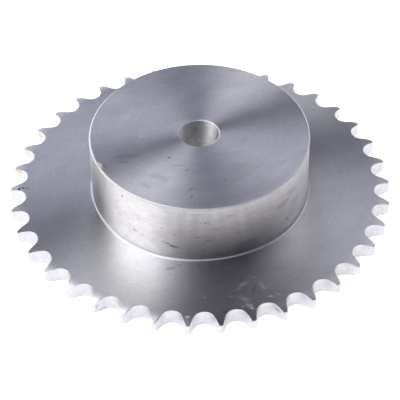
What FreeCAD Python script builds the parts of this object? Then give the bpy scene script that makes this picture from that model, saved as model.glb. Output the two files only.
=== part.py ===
import FreeCAD
import Part
import math
import os

# Simplex chain sprocket with its hub on one side, all one piece of steel.
# It is turned about the Z axis, and its teeth are then hobbed through the rim.
# Millimetres and degrees. The flat back face lies at z = 0 and the hub stands up from the plate.
# One tooth is centred on +X.

# Chain that runs on the teeth
chain_pitch = 12.7
roller_diameter = 8.51

# Toothed plate
tooth_count = 38
plate_thickness = 7.0
tip_above_pitch_circle = 2.4
space_form = 0.25  # 0 is the narrowest tooth space that the roller chain standard allows, 1 the widest
relief_radius = 13.0  # rounding on both sides of every tooth, which leads the link plates on
relief_depth = 1.2  # what that rounding takes off each side at the tips

# Hub
hub_diameter = 90.0
overall_width = 35.0
hub_chamfer = 0.6
hub_foot_radius = 1.0

# Pilot bore, right through
bore_diameter = 16.0
bore_chamfer = 0.4

# Room that the cutter of a tooth space has past the blank
cutter_overrun = 0.5

pitch_angle = 360 / tooth_count
pitch_radius = chain_pitch / (2 * math.sin(math.radians(pitch_angle / 2)))
root_radius = pitch_radius - roller_diameter / 2
tip_radius = pitch_radius + tip_above_pitch_circle
hub_radius = hub_diameter / 2
bore_radius = bore_diameter / 2

centre = FreeCAD.Vector(0, 0, 0)
shaft_axis = FreeCAD.Vector(0, 0, 1)


def in_section(radius, height):
    """A point of the half section, which lies in the XZ plane."""
    return FreeCAD.Vector(radius, 0, height)


def in_plan(outward, across):
    """A point of the tooth space, drawn on +X just below the back face."""
    return FreeCAD.Vector(outward, across, -cutter_overrun)


def line(start, end):
    return Part.LineSegment(start, end).toShape()


def arc(place, centre_point, radius, start_angle, end_angle):
    """An arc about a centre, in the plane that place puts it in."""
    angles = [math.radians(a) for a in (start_angle, (start_angle + end_angle) / 2, end_angle)]
    u, v = centre_point
    return Part.Arc(*[place(u + radius * math.cos(a), v + radius * math.sin(a)) for a in angles]).toShape()


def turned_blank():
    """Plate, hub, bore and rounded rim, as they leave the lathe."""
    relief_angle = math.degrees(math.acos(1 - relief_depth / relief_radius))
    relief_start = tip_radius - relief_radius * math.sin(math.radians(relief_angle))
    back_relief = (relief_start, relief_radius)
    front_relief = (relief_start, plate_thickness - relief_radius)
    foot = (hub_radius + hub_foot_radius, plate_thickness + hub_foot_radius)

    back_bore_edge = in_section(bore_radius + bore_chamfer, 0)
    back_relief_edge = in_section(relief_start, 0)
    back_tip = in_section(tip_radius, relief_depth)
    front_tip = in_section(tip_radius, plate_thickness - relief_depth)
    front_relief_edge = in_section(relief_start, plate_thickness)
    foot_on_plate = in_section(hub_radius + hub_foot_radius, plate_thickness)
    foot_on_hub = in_section(hub_radius, plate_thickness + hub_foot_radius)
    hub_side_end = in_section(hub_radius, overall_width - hub_chamfer)
    hub_face_edge = in_section(hub_radius - hub_chamfer, overall_width)
    front_bore_edge = in_section(bore_radius + bore_chamfer, overall_width)
    bore_front_end = in_section(bore_radius, overall_width - bore_chamfer)
    bore_back_end = in_section(bore_radius, bore_chamfer)

    half_section = [
        line(back_bore_edge, back_relief_edge),
        arc(in_section, back_relief, relief_radius, -90, relief_angle - 90),
        line(back_tip, front_tip),
        arc(in_section, front_relief, relief_radius, 90 - relief_angle, 90),
        line(front_relief_edge, foot_on_plate),
        arc(in_section, foot, hub_foot_radius, 270, 180),
        line(foot_on_hub, hub_side_end),
        line(hub_side_end, hub_face_edge),
        line(hub_face_edge, front_bore_edge),
        line(front_bore_edge, bore_front_end),
        line(bore_front_end, bore_back_end),
        line(bore_back_end, back_bore_edge),
    ]
    return Part.Face(Part.Wire(half_section)).revolve(centre, shaft_axis, 360)


def between_limits(narrowest, widest):
    """A size of the tooth space, between the limits that the roller chain standard gives it."""
    return narrowest + space_form * (widest - narrowest)


def tooth_space():
    """What the hob takes out between two teeth: an arc where the roller seats, and on each side
    of it the hollow left by the next tooth's convex flank, tangent to that arc."""
    narrowest_seat = 0.505 * roller_diameter
    widest_seat = narrowest_seat + 0.069 * roller_diameter ** (1 / 3)
    widest_flank = 0.12 * roller_diameter * (tooth_count + 2)
    narrowest_flank = 0.008 * roller_diameter * (tooth_count**2 + 180)
    seat_radius = between_limits(narrowest_seat, widest_seat)
    seat_angle = between_limits(140, 120) - 90 / tooth_count
    flank_radius = between_limits(narrowest_flank, widest_flank)

    half_seat = seat_angle / 2
    seat_centre = root_radius + seat_radius
    centre_distance = seat_radius + flank_radius
    flank_out = seat_centre - centre_distance * math.cos(math.radians(half_seat))
    flank_across = centre_distance * math.sin(math.radians(half_seat))
    mouth = tip_radius + cutter_overrun
    mouth_angle = math.degrees(math.acos((mouth - flank_out) / flank_radius))
    half_mouth = flank_across - flank_radius * math.sin(math.radians(mouth_angle))

    outline = [
        arc(in_plan, (seat_centre, 0), seat_radius, 180 - half_seat, 180 + half_seat),
        arc(in_plan, (flank_out, -flank_across), flank_radius, half_seat, mouth_angle),
        line(in_plan(mouth, -half_mouth), in_plan(mouth, half_mouth)),
        arc(in_plan, (flank_out, flank_across), flank_radius, -mouth_angle, -half_seat),
    ]
    return Part.Face(Part.Wire(outline)).extrude(shaft_axis * (plate_thickness + 2 * cutter_overrun))


def hobbed(blank):
    """The blank with a tooth space every pitch, the first half a pitch from the tooth on +X."""
    spaces = []
    for index in range(tooth_count):
        space = tooth_space()
        space.rotate(centre, shaft_axis, (index + 0.5) * pitch_angle)
        spaces.append(space)
    return blank.cut(spaces)


sprocket = hobbed(turned_blank())

os.makedirs("parts", exist_ok=True)
sprocket.exportStep("parts/sprocket.step")
print("solids", len(sprocket.Solids), "valid", sprocket.isValid(), "faces", len(sprocket.Faces))
print("volume in cubic centimetres", round(sprocket.Volume / 1000, 2))
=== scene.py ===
import math

import bmesh
import bpy
from mathutils import Matrix, Vector


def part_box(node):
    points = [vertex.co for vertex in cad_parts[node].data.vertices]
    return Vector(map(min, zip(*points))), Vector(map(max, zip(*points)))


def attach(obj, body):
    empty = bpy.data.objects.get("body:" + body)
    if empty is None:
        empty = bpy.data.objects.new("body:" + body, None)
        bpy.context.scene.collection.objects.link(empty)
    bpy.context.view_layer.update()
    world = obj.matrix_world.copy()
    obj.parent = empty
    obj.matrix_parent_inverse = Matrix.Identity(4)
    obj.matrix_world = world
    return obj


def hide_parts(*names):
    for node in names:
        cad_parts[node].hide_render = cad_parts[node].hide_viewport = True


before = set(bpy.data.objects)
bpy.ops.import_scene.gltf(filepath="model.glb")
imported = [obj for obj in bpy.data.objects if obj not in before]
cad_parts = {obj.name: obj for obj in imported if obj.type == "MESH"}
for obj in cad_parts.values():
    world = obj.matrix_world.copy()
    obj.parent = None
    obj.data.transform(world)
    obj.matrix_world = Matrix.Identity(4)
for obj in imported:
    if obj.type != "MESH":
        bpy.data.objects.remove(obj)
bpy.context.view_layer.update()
lowest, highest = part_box("sprocket")

millimetre = 0.001
origin = Vector((0, 0, 0))
shaftAxis = Vector((0, 0, 1))

# The toothed plate with its hub, in millimetres. The tip circle and the height are read from the
# CAD part's box.
sprocket = {
    "tipRadius": highest.x / millimetre,
    "overallWidth": highest.z / millimetre,
    "toothCount": 38,
    "chainPitch": 12.7,
    "rollerDiameter": 8.51,
    "spaceForm": 0.25,  # 0 is the chain standard's narrowest tooth space, 1 its widest
    "plateThickness": 7.0,
    "reliefRadius": 13.0,  # rounding on both sides of the teeth
    "reliefDepth": 1.2,
    "hubRadius": 45.0,
    "hubChamfer": 0.6,
    "footRadius": 1.0,
    "boreRadius": 8.0,
    "boreChamfer": 0.4,
    "rimInside": 71.4,  # where the rows that follow the teeth begin
    "edgeBreak": 0.12,  # width of the eased edges
    "sharpAngle": 25,  # degrees, past which an edge is eased
    "seatSteps": 7,  # each arc's number of faces
    "flankSteps": 5,
    "rimRows": 9,
    "footSteps": 5,
    "samePoint": 0.001,  # points closer than this are joined
}


def report(stage):
    print("sprocket scene:", stage)


# Modelling

def toothSpaceSizes():
    # the chain standard's formulas, between their two limits
    s = sprocket
    roller, teeth = s["rollerDiameter"], s["toothCount"]

    def between(narrowest, widest):
        return narrowest + s["spaceForm"] * (widest - narrowest)

    pitchRadius = s["chainPitch"] / (2 * math.sin(math.pi / teeth))
    rootRadius = pitchRadius - roller / 2
    seatRadius = between(0.505 * roller, 0.505 * roller + 0.069 * roller ** (1 / 3))
    halfSeat = math.radians(between(140, 120) - 90 / teeth) / 2
    flankRadius = between(0.008 * roller * (teeth**2 + 180), 0.12 * roller * (teeth + 2))
    seatCentre = Vector((rootRadius + seatRadius, 0, 0))
    towardsFlank = Vector((-math.cos(halfSeat), math.sin(halfSeat), 0))
    flankCentre = seatCentre + towardsFlank * (seatRadius + flankRadius)
    return rootRadius, seatCentre, halfSeat, flankCentre, flankRadius


def sweepPoint(bm, point, about, angle, steps):
    swept = bmesh.ops.spin(bm, geom=[point], cent=about, axis=shaftAxis, angle=angle, steps=steps)
    return [item for item in swept["geom_last"] if isinstance(item, bmesh.types.BMVert)][0]


def drawToothOutline(bm):
    # seat, flank and half of the tip are swept on one side of a tooth space, mirrored, and
    # repeated all round
    s = sprocket
    rootRadius, seatCentre, halfSeat, flankCentre, flankRadius = toothSpaceSizes()
    halfPitch = math.pi / s["toothCount"]
    distance = flankCentre.length
    cosine = (s["tipRadius"] ** 2 - distance**2 - flankRadius**2) / (2 * distance * flankRadius)
    tipAngle = math.atan2(flankCentre.y, flankCentre.x) - math.acos(cosine)

    point = bm.verts.new((rootRadius, 0, 0))
    point = sweepPoint(bm, point, seatCentre, -halfSeat, s["seatSteps"])
    point = sweepPoint(bm, point, flankCentre, tipAngle + halfSeat, s["flankSteps"])
    sweepPoint(bm, point, origin, halfPitch - math.atan2(point.co.y, point.co.x), 1)

    half = bm.verts[:] + bm.edges[:]
    bmesh.ops.mirror(bm, geom=half, matrix=Matrix.Identity(4), merge_dist=-1, axis="Y")
    bmesh.ops.rotate(bm, verts=bm.verts[:], cent=origin, matrix=Matrix.Rotation(halfPitch, 3, "Z"))
    pitch = bm.verts[:] + bm.edges[:]
    turns = s["toothCount"] - 1
    bmesh.ops.spin(bm, geom=pitch, cent=origin, axis=shaftAxis, angle=2 * halfPitch * turns, steps=turns,
                   use_duplicate=True)
    bmesh.ops.remove_doubles(bm, verts=bm.verts[:], dist=s["samePoint"])
    return bm.edges[:]


def drawnIn(bm, loop, radius, height):
    # extrudes a loop and draws the copy in or out to a circle of that radius and height
    grown = bmesh.ops.extrude_edge_only(bm, edges=loop)["geom"]
    points = [item for item in grown if isinstance(item, bmesh.types.BMVert)]
    for point in points:
        outward = Vector((point.co.x, point.co.y, 0)).normalized()
        point.co = outward * radius + shaftAxis * height
    return [item for item in grown if isinstance(item, bmesh.types.BMEdge)]


def reliefAt(radius):
    # how far the rounding of the rim has fallen below the face at that radius
    s = sprocket
    run = math.sqrt(s["reliefRadius"] ** 2 - (s["reliefRadius"] - s["reliefDepth"]) ** 2)
    past = max(0, radius - (s["tipRadius"] - run))
    return s["reliefRadius"] - math.sqrt(s["reliefRadius"] ** 2 - past**2)


def turnedSection():
    # radius and height of each line round the part, from the front of the plate over the hub,
    # down the bore and out along the back
    s = sprocket
    plate, width, hub, foot = s["plateThickness"], s["overallWidth"], s["hubRadius"], s["footRadius"]
    bore, chamfer = s["boreRadius"], s["boreChamfer"]
    section = []
    for step in range(s["footSteps"] + 1):
        turn = math.radians(90) * step / s["footSteps"]
        section.append((hub + foot - foot * math.sin(turn), plate + foot - foot * math.cos(turn)))
    section += [
        (hub, width - s["hubChamfer"]),
        (hub - s["hubChamfer"], width),
        (bore + chamfer, width),
        (bore, width - chamfer),
        (bore, chamfer),
        (bore + chamfer, 0),
        (s["rimInside"], 0),
    ]
    return section


def buildSprocket():
    s = sprocket
    bm = bmesh.new()
    outline = drawToothOutline(bm)
    ring = drawnIn(bm, outline, s["rimInside"], 0)
    spokes = list({edge for face in bm.faces for edge in face.edges} - set(outline) - set(ring))
    bmesh.ops.subdivide_edges(bm, edges=spokes, cuts=s["rimRows"] - 1, use_grid_fill=True)
    for point in bm.verts:
        point.co.z = s["plateThickness"] - reliefAt(point.co.xy.length)

    back = bmesh.ops.duplicate(bm, geom=bm.verts[:] + bm.edges[:] + bm.faces[:])["geom"]
    backPoints = [item for item in back if isinstance(item, bmesh.types.BMVert)]
    for point in backPoints:
        point.co.z = s["plateThickness"] - point.co.z

    rim = [edge for edge in bm.edges if edge.is_boundary]
    isInside = {edge: edge.verts[0].co.xy.length < s["rimInside"] + 0.1 for edge in rim}
    bmesh.ops.bridge_loops(bm, edges=[edge for edge in rim if not isInside[edge]])
    ring = [edge for edge in rim if isInside[edge] and edge.verts[0].co.z > s["plateThickness"] / 2]
    for radius, height in turnedSection():
        ring = drawnIn(bm, ring, radius, height)
    bmesh.ops.remove_doubles(bm, verts=bm.verts[:], dist=s["samePoint"])
    bmesh.ops.recalc_face_normals(bm, faces=bm.faces[:])

    sharp = [edge for edge in bm.edges if edge.calc_face_angle(0) > math.radians(s["sharpAngle"])]
    bmesh.ops.bevel(bm, geom=sharp, offset=s["edgeBreak"], offset_type="OFFSET", segments=2, profile=0.5,
                    affect="EDGES", clamp_overlap=True, material=-1)
    bmesh.ops.scale(bm, vec=(millimetre,) * 3, verts=bm.verts[:])

    mesh = bpy.data.meshes.new("turnedSprocket")
    bm.to_mesh(mesh)
    bm.free()
    mesh.shade_smooth()
    piece = bpy.data.objects.new("turnedSprocket", mesh)
    bpy.context.scene.collection.objects.link(piece)
    evenShading = piece.modifiers.new("evenShading", "WEIGHTED_NORMAL")
    evenShading.weight = 50
    return piece


# Materials

def linear(hexColour):
    # sRGB hex to linear, with alpha
    parts = [int(hexColour[i:i + 2], 16) / 255 for i in (1, 3, 5)]
    return tuple(c / 12.92 if c <= 0.04045 else ((c + 0.055) / 1.055) ** 2.4 for c in parts) + (1.0,)


def addNode(tree, kind, settings=None, links=None):
    # settings are sockets by name or index, or properties; links are socket to (node, output)
    node = tree.nodes.new(kind)
    for name, value in (settings or {}).items():
        if isinstance(name, int) or name in node.inputs:
            node.inputs[name].default_value = value
        else:
            setattr(node, name, value)
    for name, (source, output) in (links or {}).items():
        tree.links.new(source.outputs[output], node.inputs[name])
    return node


# Turned and hobbed mild steel. The tool marks run round the shaft, so the shine spreads across
# them and stands on each face as bright sectors with dark ones between. Faint rings, soft clouds,
# a fine grain and what handling leaves break it up. Lengths are in millimetres.
steel = {
    "grooveTurn": 0.25,  # of a turn, from along the tool marks to across them
    "ringWidth": 0.9,  # the tool marks are about 0.15 apart, too fine to show, so they are drawn wider
    "ringLength": 28.0,  # how far round, at the hub's rim, before a ring changes
    "grain": 1.1,
    "speckSpacing": 5.0,
    "speckSize": 0.45,
    "bareCells": 0.83,  # share of the speck pattern's cells that stay clean
    "bumpHeight": 0.006,
    "wearRadii": (10.0, 30.0),  # between these the roughness goes from its first value to its second
    "cloudSheen": 0.2,  # how far a light cloud also smooths the steel
    "markRagged": 1.6,  # size of the wander of a mark's outline, and how far it goes
    "markCore": 0.3,  # share of a mark's radius inside which it has its full strength
    "faceMarkReach": 3,  # how far a mark on a face or a wall goes into the metal, and past it
    "wallMarkReach": 5,
    "toothDepth": 3,  # marks on the teeth are centred that far inside the tips
    "paleFrom": 0.85,  # tints lighter than this are dust and bruises
    # first colour, roughness near the shaft and further out, share of spread shine and of bare
    # metal, then how much each pattern lightens and darkens
    "finishes": {
        # faced on the lathe, so its bright sectors are the sharpest near the shaft
        "hubFace": {"colour": "#dadbde", "roughness": (0.31, 0.385), "anisotropy": 0.9, "metallic": 1.0,
                    "rings": 0.07, "clouds": 0.20, "grain": 0.10, "specks": 0.15,
                    "cloudSize": (13, 7, 6), "cloudTurn": 18},
        # faced in the same way, with an even sheen out to the teeth
        "plateFace": {"colour": "#dadbde", "roughness": (0.35, 0.35), "anisotropy": 0.9, "metallic": 1.0,
                      "rings": 0.08, "clouds": 0.14, "grain": 0.10, "specks": 0.25,
                      "cloudSize": (20, 8, 8), "cloudTurn": 25},
        # turned along the shaft and handled, so the room's light stands on it in upright bands
        "hubSide": {"colour": "#d9d6d7", "roughness": (0.33, 0.33), "anisotropy": 0.9, "metallic": 1.0,
                    "rings": 0.10, "clouds": 0.20, "grain": 0.14, "specks": 0.5,
                    "cloudSize": (8, 8, 5), "cloudTurn": 0},
        # chamfers and the foot's rounding, burnished and worn; their near-white, mostly unmetallic colour is
        # a painted highlight that shows them as one thin pale line
        "turnedEdge": {"colour": "#f8f9ff", "roughness": (0.45, 0.45), "anisotropy": 0.0, "metallic": 0.3,
                       "rings": 0.0, "clouds": 0.15, "grain": 0.1, "specks": 0.0,
                       "cloudSize": (10, 10, 10), "cloudTurn": 0},
        # drilled, with coarse tool marks that draw the light out into an upright stripe
        "boredWall": {"colour": "#f4f3f5", "roughness": (0.68, 0.68), "anisotropy": 1.0, "metallic": 1.0,
                      "rings": 0.15, "clouds": 0.3, "grain": 0.2, "specks": 0.5,
                      "cloudSize": (3, 3, 6), "cloudTurn": 0},
        # hobbed and bright, with the same sheen nearly all ways
        "hobbedTooth": {"colour": "#d2d2d6", "roughness": (0.4, 0.4), "anisotropy": 0.3, "metallic": 1.0,
                        "rings": 0.06, "clouds": 0.14, "grain": 0.12, "specks": 0.35,
                        "cloudSize": (5, 5, 3), "cloudTurn": 0},
    },
    # scratches, smears, dust and specks on the flat faces: x, y, length, width, turn in degrees,
    # colour and strength
    "faceMarks": {
        "hubFace": [
            (-12.5, -14.6, 3.0, 0.9, 35, "#46464a", 0.7),
            (-8.9, -19.3, 8.8, 0.8, 3, "#64646c", 0.4),
            (-5.4, -22.0, 2.4, 1.4, 25, "#74747c", 0.35),
            (-4.2, -33.6, 3.4, 1.4, 50, "#7c7c86", 0.35),
            (-3.8, -37.4, 2.6, 1.5, 60, "#64646c", 0.35),
            (-29.5, -13.4, 16.0, 5.0, 6, "#8c8c98", 0.3),
            (-31.0, -16.6, 9.0, 1.6, 4, "#84848e", 0.3),
            (9.5, -28.3, 3.6, 1.4, 35, "#74747e", 0.3),
            (-16.5, -26.0, 12.0, 5.0, -25, "#9a9ca8", 0.3),
            (-22.0, -30.5, 9.0, 3.4, -35, "#9a9ca8", 0.25),
            (-37.9, -18.9, 5.6, 0.9, -66, "#6a6a72", 0.35),
            (-23.7, -1.1, 1.9, 1.6, 0, "#f4f4f6", 0.9),
            (32.7, -2.7, 1.7, 1.5, 0, "#f4f4f6", 0.7),
            (-39.9, -18.0, 6.6, 1.3, -66, "#f6f6fa", 0.9),
            (-18.5, -21.5, 9.0, 3.4, 25, "#f0f0f6", 0.14),
            (-11.0, -30.0, 8.0, 3.0, 10, "#f0f0f6", 0.12),
        ],
        "plateFace": [
            (-50.3, -21.6, 3.0, 1.3, -26, "#f6f6f8", 0.3),
            (-47.2, -29.3, 2.6, 1.2, -43, "#f6f6f8", 0.25),
            (-44.3, -31.1, 2.0, 1.1, -20, "#f6f6f8", 0.25),
            (-75.6, -1.1, 1.3, 1.7, 0, "#242220", 0.95),
            (-74.1, -0.7, 1.4, 1.7, 0, "#242220", 0.9),
            (-72.4, -0.9, 3.2, 1.0, 0, "#5c5a58", 0.5),
            (-12.6, -49.0, 7.5, 2.4, 8, "#70707a", 0.35),
            (-9.5, -47.3, 4.5, 1.6, -5, "#70707a", 0.3),
            (8.6, -72.8, 5.0, 1.8, 0, "#72727a", 0.35),
            (20.1, -60.6, 7.0, 2.6, 78, "#6c6c74", 0.25),
            (15.8, -58.4, 8.0, 2.4, 40, "#f2f2f4", 0.12),
            (19.6, -54.6, 6.5, 2.4, -20, "#f2f2f4", 0.09),
            (23.2, -59.0, 7.0, 2.2, -70, "#f2f2f4", 0.11),
            (13.8, -61.1, 3.0, 1.4, 10, "#f2f2f4", 0.16),
            (18.4, -71.4, 2.2, 1.2, -12, "#f6f6f8", 0.7),
            (21.0, -72.2, 2.0, 1.1, 20, "#f6f6f8", 0.55),
            (15.2, -70.2, 1.8, 1.0, 30, "#f6f6f8", 0.4),
            (22.6, -68.4, 3.0, 1.3, -25, "#f2f2f4", 0.2),
            (29.0, -64.0, 3.6, 1.4, -30, "#f2f2f4", 0.2),
            (10.6, -64.8, 3.0, 1.4, 15, "#f2f2f4", 0.12),
            (17.6, -69.6, 5.4, 3.0, -25, "#f6f6f8", 0.24),
            (16.0, -66.3, 8.5, 3.0, -20, "#f2f2f4", 0.13),
            (26.4, -65.0, 2.2, 1.3, 0, "#f6f6f8", 0.5),
            (-6.4, -75.2, 2.6, 1.6, 12, "#f6f6f8", 0.7),
            (0.6, -65.2, 2.0, 1.2, 0, "#f2f2f4", 0.45),
            (-1.9, -51.2, 1.9, 1.2, 15, "#f2f2f4", 0.4),
            (-6.5, -59.6, 2.8, 1.8, 30, "#f2f2f4", 0.13),
            (0.9, -46.9, 3.6, 1.8, -20, "#f2f2f4", 0.16),
            (11.2, -48.9, 2.4, 1.4, 0, "#f2f2f4", 0.14),
        ],
    },
    # the same on walls, with rust, stains and a patch of painted shade: degrees round from +X, height,
    # length, width, turn, colour and strength
    "wallMarks": {
        "hubSide": [
            (-108.0, 15.2, 5.5, 0.9, -14, "#424240", 0.65),
            (-104.8, 13.9, 5.5, 1.4, -14, "#3c3c3a", 0.7),
            (-102.6, 13.6, 3.4, 0.8, -4, "#4a4a48", 0.5),
            (-133.8, 31.4, 1.8, 1.2, 60, "#50504e", 0.7),
            (-137.5, 27.0, 2.6, 1.6, 40, "#8e8c8a", 0.35),
            (-136.1, 20.3, 2.4, 1.4, 10, "#7c7a76", 0.4),
            (-126.1, 16.3, 3.4, 1.8, 5, "#84827e", 0.4),
            (-121.5, 15.6, 1.6, 1.4, 0, "#84827e", 0.35),
            (-88.3, 27.6, 1.2, 1.2, 0, "#42403e", 0.75),
            (-39.5, 13.5, 1.6, 1.4, 0, "#343436", 0.8),
            (-92.0, 20.0, 2.8, 0.8, 0, "#4c4a48", 0.6),
            (-86.8, 18.1, 3.4, 0.8, -5, "#4c4a48", 0.55),
            (-88.9, 12.9, 2.2, 1.2, 0, "#54524f", 0.35),
            (-103.6, 20.4, 1.2, 0.9, 0, "#55534f", 0.6),
            (-83.5, 24.2, 5.2, 0.8, 2, "#6e6c6a", 0.35),
            (-76.0, 30.4, 4.6, 1.2, -6, "#74737a", 0.35),
            (-68.0, 11.5, 18.0, 9.0, 10, "#4c4c52", 0.28),  # painted shade that darkens the hub side where it reflects dark, with the next
            (-80.0, 9.5, 10.0, 4.0, 0, "#54545a", 0.2),
            (-44.0, 24.0, 12.0, 5.0, 5, "#76767c", 0.25),
            (-37.0, 27.0, 9.0, 4.0, -10, "#70707a", 0.25),
            (-33.5, 20.0, 8.0, 4.0, 0, "#70707a", 0.22),
            (-92.0, 32.4, 10.0, 0.8, 0, "#7c7a7e", 0.3),
        ],
        "hobbedTooth": [
            (152.6, 4.4, 2.6, 5.0, 0, "#c8ae78", 0.5),
            (162.0, 4.2, 2.6, 5.0, 0, "#d8cc9c", 0.5),
            (171.5, 5.8, 2.3, 2.8, 0, "#e4a868", 0.7),
            (171.3, 3.4, 2.2, 4.0, 0, "#e8d0a0", 0.45),
            (181.6, 3.6, 3.0, 5.0, 0, "#d4d6c8", 0.4),
            (190.8, 4.0, 3.0, 4.0, 0, "#e4ccc4", 0.35),
            (-67.8, 4.8, 1.5, 2.0, 20, "#66646a", 0.55),
            (-34.9, 3.4, 1.6, 1.4, 0, "#6c6a70", 0.5),
            (-122.3, 3.9, 0.9, 3.6, 0, "#66646a", 0.55),
            (-121.3, 1.2, 1.5, 1.4, 0, "#66646a", 0.5),
        ],
    },
}


def steelMaterial(name, finish):
    material = bpy.data.materials.new(name + "Steel")
    material.use_nodes = True
    tree = material.node_tree
    tree.nodes.clear()
    coordinates = addNode(tree, "ShaderNodeTexCoord")
    place = addNode(tree, "ShaderNodeVectorMath", {"operation": "SCALE", "Scale": 1 / millimetre},
                    {0: (coordinates, "Object")})
    parts = addNode(tree, "ShaderNodeSeparateXYZ", links={0: (place, 0)})
    # the way round the shaft, which the tool marks follow
    minusY = addNode(tree, "ShaderNodeMath", {"operation": "MULTIPLY", 1: -1.0}, {0: (parts, "Y")})
    around = addNode(tree, "ShaderNodeCombineXYZ", links={"X": (minusY, 0), "Y": (parts, "X")})
    tangent = addNode(tree, "ShaderNodeVectorTransform",
                      {"vector_type": "VECTOR", "convert_from": "OBJECT", "convert_to": "WORLD"},
                      {0: (around, 0)})

    # rings: long round the shaft and short across, on faces and walls alike
    radius = addNode(tree, "ShaderNodeVectorMath", {"operation": "LENGTH"}, {0: (around, 0)})
    heading = addNode(tree, "ShaderNodeVectorMath", {"operation": "NORMALIZE"}, {0: (around, 0)})
    across = addNode(tree, "ShaderNodeMath", {"operation": "ADD"},
                     {0: (radius, "Value"), 1: (parts, "Z")})
    ringStep = addNode(tree, "ShaderNodeMath", {"operation": "DIVIDE", 1: steel["ringWidth"]},
                       {0: (across, 0)})
    ringRow = addNode(tree, "ShaderNodeCombineXYZ", links={"Z": (ringStep, 0)})
    turns = sprocket["hubRadius"] / steel["ringLength"]
    ringPlace = addNode(tree, "ShaderNodeVectorMath", {"operation": "MULTIPLY_ADD", 1: (turns, turns, 0)},
                        {0: (heading, 0), 2: (ringRow, 0)})
    rings = addNode(tree, "ShaderNodeTexNoise", {"Scale": 1.0, "Detail": 2.0, "Roughness": 0.6},
                    {"Vector": (ringPlace, 0)})
    cloudPlace = addNode(tree, "ShaderNodeMapping",
                         {"vector_type": "TEXTURE", "Rotation": (0, 0, math.radians(finish["cloudTurn"])),
                          "Scale": finish["cloudSize"]}, {0: (place, 0)})
    clouds = addNode(tree, "ShaderNodeTexNoise", {"Scale": 1.0, "Detail": 3.0, "Roughness": 0.55},
                     {"Vector": (cloudPlace, 0)})
    grain = addNode(tree, "ShaderNodeTexNoise", {"Scale": 1 / steel["grain"], "Detail": 1.0},
                    {"Vector": (place, 0)})
    shade = None
    plain = 1 - finish["rings"] - finish["clouds"] - finish["grain"]
    for pattern, depth in ((rings, "rings"), (clouds, "clouds"), (grain, "grain")):
        settings = {"operation": "MULTIPLY_ADD", 1: 2 * finish[depth], 2: plain}
        links = {0: (pattern, 0)}
        if shade:
            links[2] = (shade, 0)
        shade = addNode(tree, "ShaderNodeMath", settings, links)

    # specks of dirt, one in each cell that isn't clean
    cells = addNode(tree, "ShaderNodeTexVoronoi", {"Scale": 1 / steel["speckSpacing"]},
                    {"Vector": (place, 0)})
    speckRadius = steel["speckSize"] / steel["speckSpacing"] / 2
    dot = addNode(tree, "ShaderNodeMapRange",
                  {"interpolation_type": "SMOOTHSTEP", "From Min": 1.8 * speckRadius,
                   "From Max": 0.6 * speckRadius, "To Max": finish["specks"]},
                  {"Value": (cells, "Distance")})
    chance = addNode(tree, "ShaderNodeSeparateColor", links={0: (cells, "Color")})
    chosen = addNode(tree, "ShaderNodeMath", {"operation": "GREATER_THAN", 1: steel["bareCells"]},
                     {0: (chance, "Red")})
    speck = addNode(tree, "ShaderNodeMath", {"operation": "MULTIPLY"}, {0: (dot, 0), 1: (chosen, 0)})
    clean = addNode(tree, "ShaderNodeMath", {"operation": "SUBTRACT", 0: 1.0}, {1: (speck, 0)})
    shade = addNode(tree, "ShaderNodeMath", {"operation": "MULTIPLY"}, {0: (shade, 0), 1: (clean, 0)})
    colour = addNode(tree, "ShaderNodeVectorMath", {"operation": "SCALE", 0: linear(finish["colour"])[:3]},
                     {"Scale": (shade, 0)})
    output = 0

    # marks as ellipsoids: centre, turn, half sizes, tint and strength
    face = sprocket["overallWidth"] if name == "hubFace" else sprocket["plateThickness"]
    marks = [((x, y, face), (0, 0, math.radians(turn)), (length / 2, width / 2, steel["faceMarkReach"]),
              tint, strength)
             for x, y, length, width, turn, tint, strength in steel["faceMarks"].get(name, [])]
    wall = sprocket["hubRadius"] if name == "hubSide" else sprocket["tipRadius"] - steel["toothDepth"]
    for azimuth, height, length, width, turn, tint, strength in steel["wallMarks"].get(name, []):
        bearing = math.radians(azimuth)
        marks.append(((wall * math.cos(bearing), wall * math.sin(bearing), height),
                      (math.radians(turn), 0, bearing), (steel["wallMarkReach"], length / 2, width / 2),
                      tint, strength))
    # their outlines wander
    wander = addNode(tree, "ShaderNodeTexNoise", {"Scale": 1 / steel["markRagged"], "Detail": 3.0},
                     {"Vector": (place, 0)})
    centred = addNode(tree, "ShaderNodeVectorMath", {"operation": "SUBTRACT", 1: (0.5, 0.5, 0.5)},
                      {0: (wander, "Color")})
    ragged = addNode(tree, "ShaderNodeVectorMath",
                     {"operation": "MULTIPLY_ADD", 1: (steel["markRagged"],) * 3},
                     {0: (centred, 0), 2: (place, 0)})
    metal = None
    for centre, turn, halves, tint, strength in marks:
        local = addNode(tree, "ShaderNodeMapping",
                        {"vector_type": "TEXTURE", "Location": centre, "Rotation": turn, "Scale": halves},
                        {0: (ragged, 0)})
        away = addNode(tree, "ShaderNodeVectorMath", {"operation": "LENGTH"}, {0: (local, 0)})
        mask = addNode(tree, "ShaderNodeMapRange",
                       {"interpolation_type": "SMOOTHSTEP", "From Min": 1.0,
                        "From Max": steel["markCore"], "To Max": strength}, {"Value": (away, "Value")})
        colour = addNode(tree, "ShaderNodeMix", {"data_type": "RGBA", 7: linear(tint)},
                         {0: (mask, 0), 6: (colour, output)})
        output = 2
        if linear(tint)[1] > steel["paleFrom"]:
            # these scatter the light where bare steel mirrors the room
            metal = addNode(tree, "ShaderNodeMix", {2: finish["metallic"], 3: 0.0},
                            {0: (mask, 0), 2: (metal, 0)} if metal else {0: (mask, 0)})

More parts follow.
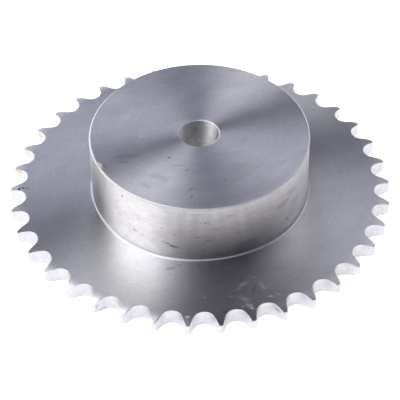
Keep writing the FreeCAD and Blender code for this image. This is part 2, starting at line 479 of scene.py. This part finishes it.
    near, far = steel["wearRadii"]
    inner, outer = finish["roughness"]
    wear = addNode(tree, "ShaderNodeMapRange",
                   {"From Min": near, "From Max": far, "To Min": inner, "To Max": outer},
                   {"Value": (radius, "Value")})
    rough = addNode(tree, "ShaderNodeMath",
                    {"operation": "MULTIPLY_ADD", 1: -steel["cloudSheen"] * finish["clouds"]},
                    {0: (clouds, 0), 2: (wear, 0)})
    relief = addNode(tree, "ShaderNodeBump", {"Strength": 1.0, "Distance": steel["bumpHeight"] * millimetre},
                     {"Height": (rings, 0)})
    links = {"Base Color": (colour, output), "Roughness": (rough, 0), "Normal": (relief, 0),
             "Tangent": (tangent, 0)}
    if metal:
        links["Metallic"] = (metal, 0)
    shader = addNode(tree, "ShaderNodeBsdfPrincipled",
                     {"Metallic": finish["metallic"], "Anisotropic": finish["anisotropy"],
                      "Anisotropic Rotation": steel["grooveTurn"]}, links)
    addNode(tree, "ShaderNodeOutputMaterial", links={"Surface": (shader, 0)})
    return material


def finishOf(face):
    # which of the finishes a face has, by where it lies and how far it looks up or down
    s = sprocket
    centre = face.center / millimetre
    radius, upright = centre.xy.length, abs(face.normal.z)
    if 0.3 < upright < 0.88:
        return "turnedEdge"
    if radius < s["boreRadius"] + s["boreChamfer"] / 2:
        return "boredWall"
    if radius > s["rimInside"] - 1 and upright < 0.35:
        return "hobbedTooth"
    if radius < s["hubRadius"] + s["footRadius"] and upright < 0.5:
        return "hubSide"
    return "hubFace" if radius < s["hubRadius"] else "plateFace"


def dressSprocket(piece):
    names = list(steel["finishes"])
    for name in names:
        piece.data.materials.append(steelMaterial(name, steel["finishes"][name]))
    for face in piece.data.polygons:
        face.material_index = names.index(finishOf(face))


# Studio

studio = {
    "sensorWidth": 36,
    "focalLength": 144.08,
    "distance": 0.6754,
    "nearestSeen": 0.01,
    "azimuth": -90.807,  # degrees from +X
    "elevation": 43.45,
    "roll": -0.56,
    "aimBelow": 0.1565,  # degrees that the camera looks below the back face's centre
    "floorSide": 4.0,
    "floorColour": "#f4f4f4",
    "floorGlow": 0.9,  # what the eye and the steel see on top of the lamp light on the paper
    "roomGlow": ("#d2ceff", 0.05),  # colour and brightness of the rest of the room
    # big soft lights round the part: azimuth and elevation, half width and width of the soft edge
    # in degrees, colour and brightness
    "softLights": {
        "key": (-174.2, 59.4, 19.1, 11.9, "#fafaff", 3.48),
        "lowLeft": (-165.1, 14.7, 30.8, 16.9, "#fffeea", 0.85),
        "behind": (109.2, 7.9, 33.4, 7.2, "#eaecff", 0.99),
        "right": (37.5, 41.5, 20.3, 17.1, "#faf9ff", 0.81),
    },
}


def towards(azimuth, elevation):
    azimuth, elevation = math.radians(azimuth), math.radians(elevation)
    return Vector((math.cos(elevation) * math.cos(azimuth), math.cos(elevation) * math.sin(azimuth),
                   math.sin(elevation)))


def setCamera():
    s = studio
    away = towards(s["azimuth"], s["elevation"])
    data = bpy.data.cameras.new("studioCamera")
    data.lens = s["focalLength"]
    data.sensor_width = s["sensorWidth"]
    data.clip_start = s["nearestSeen"]
    camera = bpy.data.objects.new("studioCamera", data)
    turn = away.to_track_quat("Z", "Y").to_matrix().to_4x4()
    roll = Matrix.Rotation(math.radians(s["roll"]), 4, "Z")
    tilt = Matrix.Rotation(math.radians(-s["aimBelow"]), 4, "X")
    camera.matrix_world = Matrix.Translation(away * s["distance"]) @ turn @ roll @ tilt
    bpy.context.scene.collection.objects.link(camera)
    bpy.context.scene.camera = camera


def layFloor():
    bm = bmesh.new()
    bmesh.ops.create_grid(bm, x_segments=1, y_segments=1, size=studio["floorSide"] / 2)
    mesh = bpy.data.meshes.new("paleFloor")
    bm.to_mesh(mesh)
    bm.free()
    floor = bpy.data.objects.new("paleFloor", mesh)
    bpy.context.scene.collection.objects.link(floor)
    material = bpy.data.materials.new("paperSweep")
    material.use_nodes = True
    tree = material.node_tree
    tree.nodes.clear()
    paper = addNode(tree, "ShaderNodeBsdfDiffuse", {"Color": linear(studio["floorColour"])})
    glow = addNode(tree, "ShaderNodeMath", {"operation": "MULTIPLY", 1: studio["floorGlow"]},
                   {0: (seenRay(tree), 0)})
    white = addNode(tree, "ShaderNodeEmission", links={"Strength": (glow, 0)})
    both = addNode(tree, "ShaderNodeAddShader", links={0: (paper, 0), 1: (white, 0)})
    addNode(tree, "ShaderNodeOutputMaterial", links={"Surface": (both, 0)})
    material.cycles.emission_sampling = "NONE"
    mesh.materials.append(material)


def seenRay(tree):
    # 1 for a ray that the camera, the steel or glass sends
    path = addNode(tree, "ShaderNodeLightPath")
    direct = addNode(tree, "ShaderNodeMath", {"operation": "MAXIMUM"},
                     {0: (path, "Is Camera Ray"), 1: (path, "Is Glossy Ray")})
    return addNode(tree, "ShaderNodeMath", {"operation": "MAXIMUM"},
                   {0: (direct, 0), 1: (path, "Is Transmission Ray")})


def lightRoom():
    # the lights are round soft patches in a dim room, which is as pale as the floor below the
    # horizon
    world = bpy.data.worlds.new("studioRoom")
    bpy.context.scene.world = world
    world.use_nodes = True
    tree = world.node_tree
    tree.nodes.clear()
    direction = addNode(tree, "ShaderNodeTexCoord")
    height = addNode(tree, "ShaderNodeSeparateXYZ", links={0: (direction, "Generated")})
    below = addNode(tree, "ShaderNodeMath", {"operation": "LESS_THAN", 1: 0.0}, {0: (height, "Z")})
    colour, brightness = studio["roomGlow"]
    dim = Vector(linear(colour)[:3]) * brightness
    room = addNode(tree, "ShaderNodeVectorMath",
                   {"operation": "MULTIPLY_ADD", 1: Vector((1, 1, 1)) - dim, 2: dim}, {0: (below, 0)})
    for azimuth, elevation, halfWidth, edge, colour, brightness in studio["softLights"].values():
        cosine = addNode(tree, "ShaderNodeVectorMath",
                         {"operation": "DOT_PRODUCT", 1: towards(azimuth, elevation)},
                         {0: (direction, "Generated")})
        patch = addNode(tree, "ShaderNodeMapRange",
                        {"interpolation_type": "SMOOTHSTEP",
                         "From Min": math.cos(math.radians(halfWidth + edge)),
                         "From Max": math.cos(math.radians(halfWidth - edge)), "To Max": brightness},
                        {"Value": (cosine, "Value")})
        room = addNode(tree, "ShaderNodeVectorMath",
                       {"operation": "MULTIPLY_ADD", 1: linear(colour)[:3]}, {0: (patch, 0), 2: (room, 0)})
    lit = addNode(tree, "ShaderNodeBackground", links={"Color": (room, 0)})
    white = addNode(tree, "ShaderNodeBackground", {"Color": (1, 1, 1, 1)})
    path = addNode(tree, "ShaderNodeLightPath")
    both = addNode(tree, "ShaderNodeMixShader",
                   links={0: (path, "Is Camera Ray"), 1: (lit, 0), 2: (white, 0)})
    addNode(tree, "ShaderNodeOutputWorld", links={"Surface": (both, 0)})


setCamera()
layFloor()
lightRoom()
report("camera, floor and lights are set")

steelPiece = buildSprocket()
dressSprocket(steelPiece)
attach(steelPiece, "root")
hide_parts("sprocket")
report("sprocket is modelled")

view = bpy.context.scene.view_settings
view.view_transform = "Standard"
